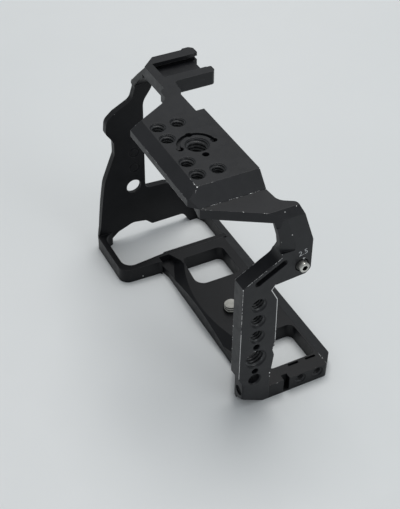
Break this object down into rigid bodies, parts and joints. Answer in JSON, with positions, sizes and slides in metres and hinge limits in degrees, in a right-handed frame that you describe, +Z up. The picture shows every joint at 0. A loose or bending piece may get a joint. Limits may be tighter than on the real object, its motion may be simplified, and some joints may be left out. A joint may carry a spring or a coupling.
{
  "type": "camera cage",
  "caption": "Full cage for a mirrorless camera: base with grip loop, side column with strap arm, top plate with cold shoe, threaded accessory holes, captive camera screw.",
  "frame": {"origin": "centre of the footprint, on the underside of the base", "axes": "+X toward the port-side column, -Y toward the lens side, +Z up through the top plate"},
  "size_m": [0.1344, 0.0662, 0.1103],
  "materials": {
    "anodised_frame": "satin black anodised, worn bright on its edges",
    "black_steel": "black oxide",
    "ground_steel": "ground",
    "stainless": "bright turned",
    "ptfe": "matte",
    "silicone": "matte"
  },
  "bodies": {
    "frame": {"base_plate": "anodised_frame", "side_frame": "anodised_frame", "top_plate": "anodised_frame", "grip_frame": "anodised_frame", "base_side_screws": "black_steel", "base_grip_screws": "black_steel", "top_arm_screws": "black_steel", "top_grip_screws": "black_steel", "base_side_dowels": "ground_steel", "base_grip_dowels": "ground_steel", "top_arm_dowels": "ground_steel", "top_pads": "silicone", "side_pad": "silicone"},
    "camera_screw_washer": {"camera_screw_washer": "ptfe"},
    "camera_screw": {"camera_screw": "stainless"},
    "lock_screw_washer": {"lock_screw_washer": "ptfe"},
    "lock_screw": {"lock_screw": "stainless"}
  },
  "joints": [
    {"name": "camera_screw_lift", "type": "slide", "parent": "frame", "child": "camera_screw_washer", "axis": [0, 0, 1], "range_m": [-0.0022, 0]},
    {"name": "camera_screw_turn", "type": "hinge", "parent": "camera_screw_washer", "child": "camera_screw", "pos_m": [0.01397, 0.0049, 0.005], "axis": [0, 0, 1], "range_deg": [-624, 0]},
    {"name": "lock_screw_feed", "type": "slide", "parent": "frame", "child": "lock_screw_washer", "axis": [1, 0, 0], "range_m": [-0.001, 0.003]},
    {"name": "lock_screw_turn", "type": "hinge", "parent": "lock_screw_washer", "child": "lock_screw", "pos_m": [0.06467, 0.0078, 0.075], "axis": [1, 0, 0], "range_deg": [-801, 2401]}
  ],
  "couplings": [
    {"joint": "camera_screw_turn", "follows": "camera_screw_lift", "rad_per_m": 4947.4},
    {"joint": "lock_screw_turn", "follows": "lock_screw_feed", "rad_per_m": 13963}
  ]
}
